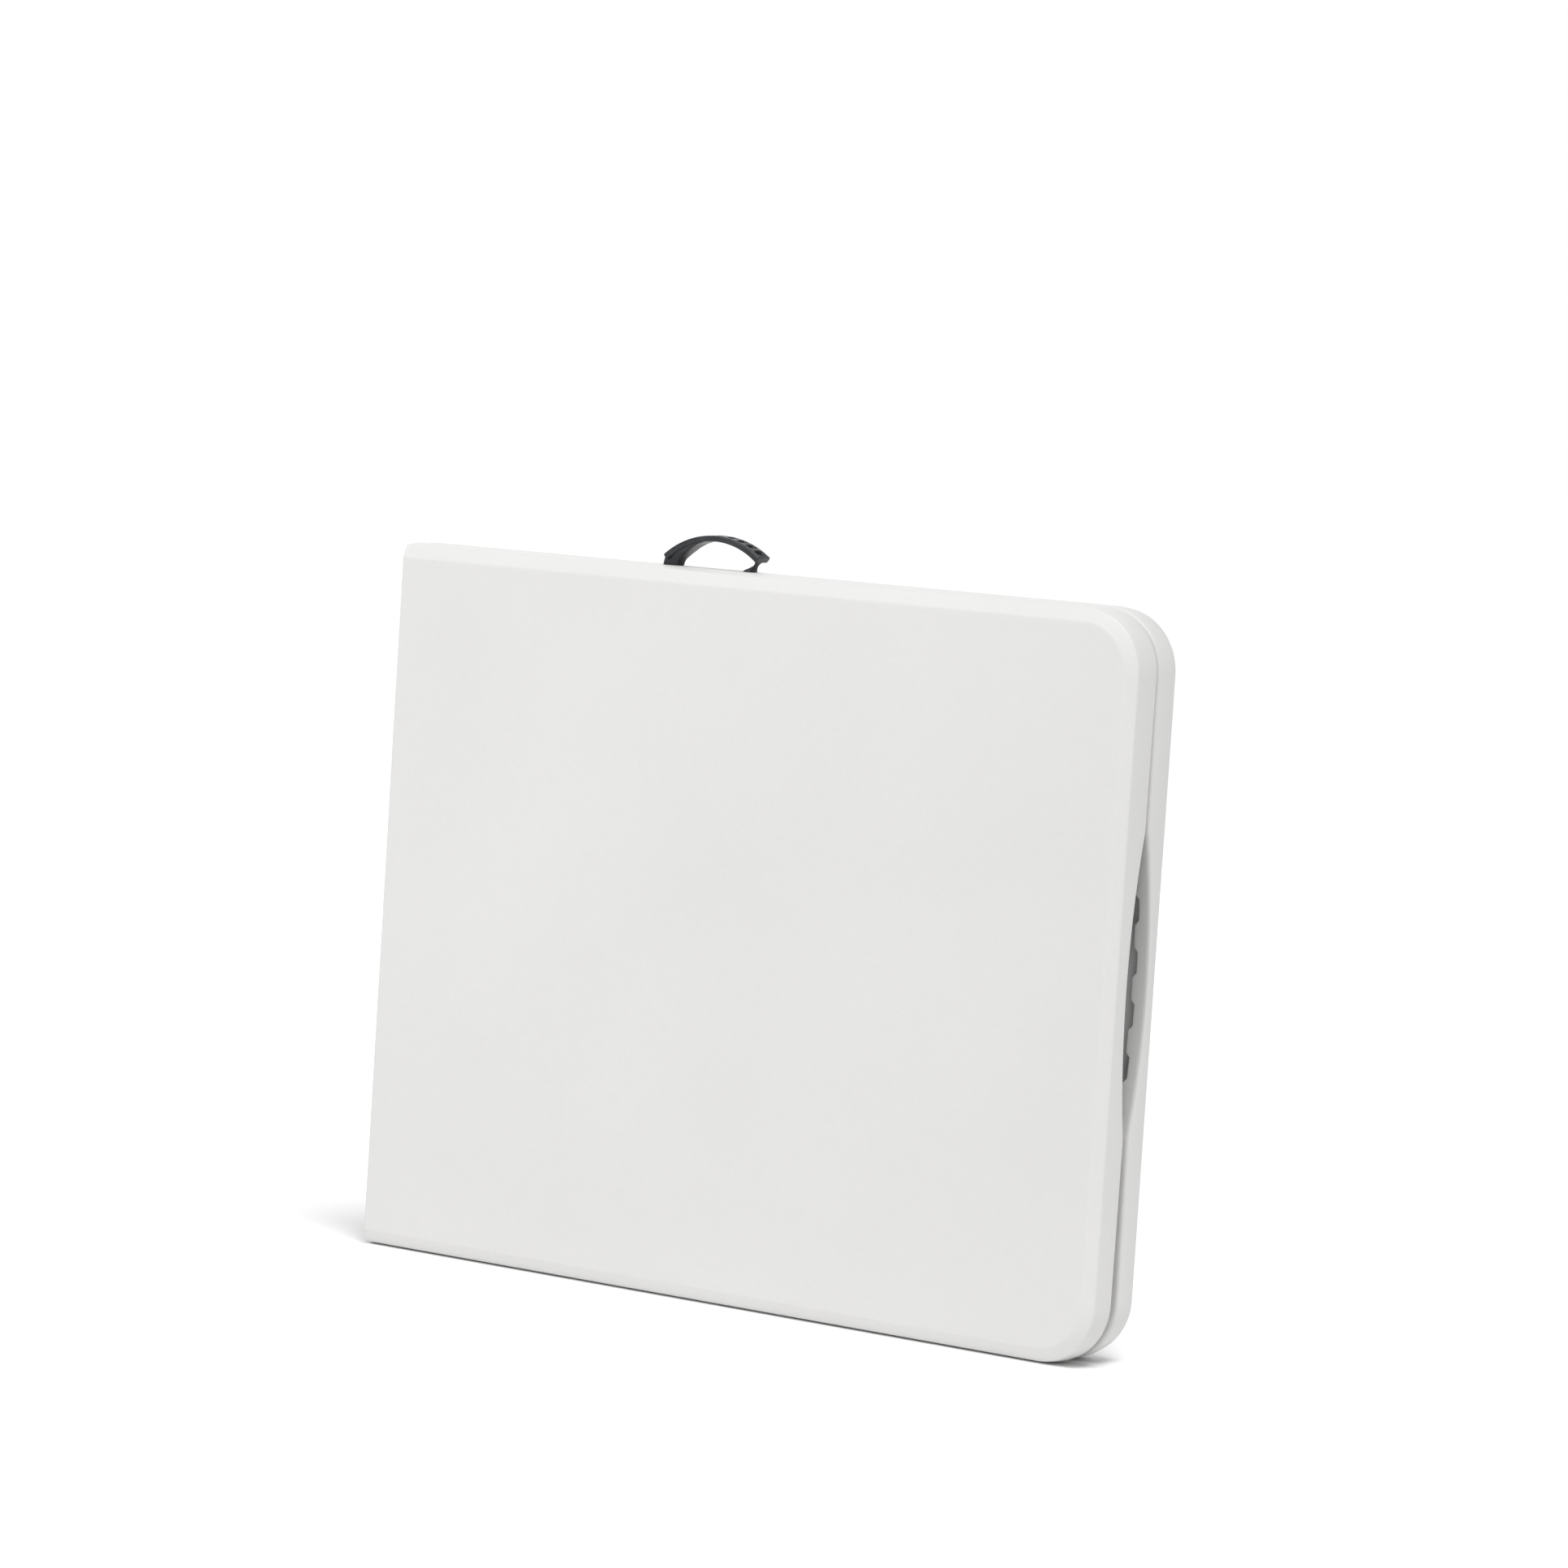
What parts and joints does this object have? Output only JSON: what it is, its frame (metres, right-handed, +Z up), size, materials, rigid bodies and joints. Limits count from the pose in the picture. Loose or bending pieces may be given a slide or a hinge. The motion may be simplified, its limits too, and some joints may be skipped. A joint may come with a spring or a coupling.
{
  "type": "folding table",
  "caption": "Fold-in-half moulded plastic table with rounded free corners, a carry handle on the long edge, end hand scallops, steel side rails and braced telescopic folding legs.",
  "frame": {"origin": "centre of the footprint of the folded table, on the floor", "axes": "+X from the hinge spine to the free ends, +Y from the front half to the rear half across the folded thickness, +Z up across the table's width to the carry handle"},
  "size_m": [0.922, 0.086, 0.795],
  "materials": {
    "white_plastic": "fine-textured off-white blow-moulded polyethylene",
    "coated_steel": "grey powder coat",
    "zinc_steel": "bright zinc plate",
    "black_plastic": "satin black moulded plastic",
    "rubber": "matt black rubber"
  },
  "bodies": {
    "rear_half": {"rear_panel": "white_plastic", "rear_rail_upper": "coated_steel", "rear_rail_lower": "coated_steel", "rear_rail_screws": "zinc_steel", "rear_bracket_upper": "black_plastic", "rear_bracket_lower": "black_plastic", "rear_leaf_upper": "zinc_steel", "rear_leaf_lower": "zinc_steel", "hinge_pin_upper": "zinc_steel", "hinge_pin_lower": "zinc_steel", "rear_anchor_brackets": "black_plastic", "rear_anchor_rod": "zinc_steel"},
    "front_half": {"front_panel": "white_plastic", "front_rail_upper": "coated_steel", "front_rail_lower": "coated_steel", "front_rail_screws": "zinc_steel", "front_bracket_upper": "black_plastic", "front_bracket_lower": "black_plastic", "front_leaf_upper": "zinc_steel", "front_leaf_lower": "zinc_steel", "front_anchor_brackets": "black_plastic", "front_anchor_rod": "zinc_steel"},
    "rear_leg": {"rear_leg_pivot": "coated_steel", "rear_leg_tube_upper": "coated_steel", "rear_leg_tube_lower": "coated_steel", "rear_leg_crossbar": "coated_steel", "rear_leg_brace_bar": "coated_steel"},
    "rear_extension_upper": {"rear_slider_upper": "zinc_steel", "rear_foot_upper": "rubber"},
    "rear_height_knob_upper": {"rear_knob_upper": "black_plastic"},
    "rear_extension_lower": {"rear_slider_lower": "zinc_steel", "rear_foot_lower": "rubber"},
    "rear_height_knob_lower": {"rear_knob_lower": "black_plastic"},
    "rear_brace_tube_body": {"rear_brace_tube": "coated_steel"},
    "rear_brace_link_body": {"rear_brace_link": "zinc_steel"},
    "rear_lock_ring_body": {"rear_lock_ring": "zinc_steel"},
    "front_leg": {"front_leg_pivot": "coated_steel", "front_leg_tube_upper": "coated_steel", "front_leg_tube_lower": "coated_steel", "front_leg_crossbar": "coated_steel", "front_leg_brace_bar": "coated_steel"},
    "front_extension_upper": {"front_slider_upper": "zinc_steel", "front_foot_upper": "rubber"},
    "front_height_knob_upper": {"front_knob_upper": "black_plastic"},
    "front_extension_lower": {"front_slider_lower": "zinc_steel", "front_foot_lower": "rubber"},
    "front_height_knob_lower": {"front_knob_lower": "black_plastic"},
    "front_brace_tube_body": {"front_brace_tube": "coated_steel"},
    "front_brace_link_body": {"front_brace_link": "zinc_steel"},
    "front_lock_ring_body": {"front_lock_ring": "zinc_steel"},
    "handle": {"carry_handle": "black_plastic"}
  },
  "joints": [
    {"name": "center_fold", "type": "hinge", "parent": "rear_half", "child": "front_half", "pos_m": [-0.454, 0, 0.38], "axis": [0, 0, -1], "range_deg": [0, 180]},
    {"name": "rear_leg_fold", "type": "hinge", "parent": "rear_half", "child": "rear_leg", "pos_m": [0.406, 0.0135, 0.38], "axis": [0, 0, 1], "range_deg": [0, 90]},
    {"name": "rear_brace_swing", "type": "hinge", "parent": "rear_half", "child": "rear_brace_tube_body", "pos_m": [-0.394, 0.02, 0.38], "axis": [0, 0, -1], "range_deg": [0, 18.57]},
    {"name": "rear_link_swing", "type": "hinge", "parent": "rear_leg", "child": "rear_brace_link_body", "pos_m": [0.146, 0.02, 0.38], "axis": [0, 0, 1], "range_deg": [0, 71.44]},
    {"name": "rear_ring_slide", "type": "slide", "parent": "rear_brace_tube_body", "child": "rear_lock_ring_body", "axis": [1, 0, 0], "range_m": [-0.07, 0.1]},
    {"name": "rear_upper_leg_extend", "type": "slide", "parent": "rear_leg", "child": "rear_extension_upper", "axis": [-1, 0, 0], "range_m": [0, 0.135]},
    {"name": "rear_upper_knob_turn", "type": "hinge", "parent": "rear_extension_upper", "child": "rear_height_knob_upper", "pos_m": [0.016, 0.0135, 0.67], "axis": [0, 0, 1], "continuous": true},
    {"name": "rear_lower_leg_extend", "type": "slide", "parent": "rear_leg", "child": "rear_extension_lower", "axis": [-1, 0, 0], "range_m": [0, 0.135]},
    {"name": "rear_lower_knob_turn", "type": "hinge", "parent": "rear_extension_lower", "child": "rear_height_knob_lower", "pos_m": [0.016, 0.0135, 0.09], "axis": [0, 0, -1], "continuous": true},
    {"name": "front_leg_fold", "type": "hinge", "parent": "front_half", "child": "front_leg", "pos_m": [0.406, -0.0135, 0.38], "axis": [0, 0, -1], "range_deg": [0, 90]},
    {"name": "front_brace_swing", "type": "hinge", "parent": "front_half", "child": "front_brace_tube_body", "pos_m": [-0.394, -0.02, 0.38], "axis": [0, 0, 1], "range_deg": [0, 18.57]},
    {"name": "front_link_swing", "type": "hinge", "parent": "front_leg", "child": "front_brace_link_body", "pos_m": [0.146, -0.02, 0.38], "axis": [0, 0, -1], "range_deg": [0, 71.44]},
    {"name": "front_ring_slide", "type": "slide", "parent": "front_brace_tube_body", "child": "front_lock_ring_body", "axis": [1, 0, 0], "range_m": [-0.07, 0.1]},
    {"name": "front_upper_leg_extend", "type": "slide", "parent": "front_leg", "child": "front_extension_upper", "axis": [-1, 0, 0], "range_m": [0, 0.135]},
    {"name": "front_upper_knob_turn", "type": "hinge", "parent": "front_extension_upper", "child": "front_height_knob_upper", "pos_m": [0.016, -0.0135, 0.635], "axis": [0, 0, -1], "continuous": true},
    {"name": "front_lower_leg_extend", "type": "slide", "parent": "front_leg", "child": "front_extension_lower", "axis": [-1, 0, 0], "range_m": [0, 0.135]},
    {"name": "front_lower_knob_turn", "type": "hinge", "parent": "front_extension_lower", "child": "front_height_knob_lower", "pos_m": [0.016, -0.0135, 0.125], "axis": [0, 0, 1], "continuous": true},
    {"name": "handle_lift", "type": "slide", "parent": "rear_half", "child": "handle", "axis": [0, 0, 1], "range_m": [0, 0.009]}
  ],
  "couplings": [
    {"joint": "rear_leg_fold", "follows": "center_fold", "ratio": 0.5},
    {"joint": "rear_brace_swing", "follows": "center_fold", "ratio": 0.10314},
    {"joint": "rear_link_swing", "follows": "center_fold", "ratio": 0.39686},
    {"joint": "rear_lower_leg_extend", "follows": "rear_upper_leg_extend", "ratio": 1},
    {"joint": "front_leg_fold", "follows": "center_fold", "ratio": 0.5},
    {"joint": "front_brace_swing", "follows": "center_fold", "ratio": 0.10314},
    {"joint": "front_link_swing", "follows": "center_fold", "ratio": 0.39686},
    {"joint": "front_upper_leg_extend", "follows": "rear_upper_leg_extend", "ratio": 1},
    {"joint": "front_lower_leg_extend", "follows": "rear_upper_leg_extend", "ratio": 1}
  ]
}
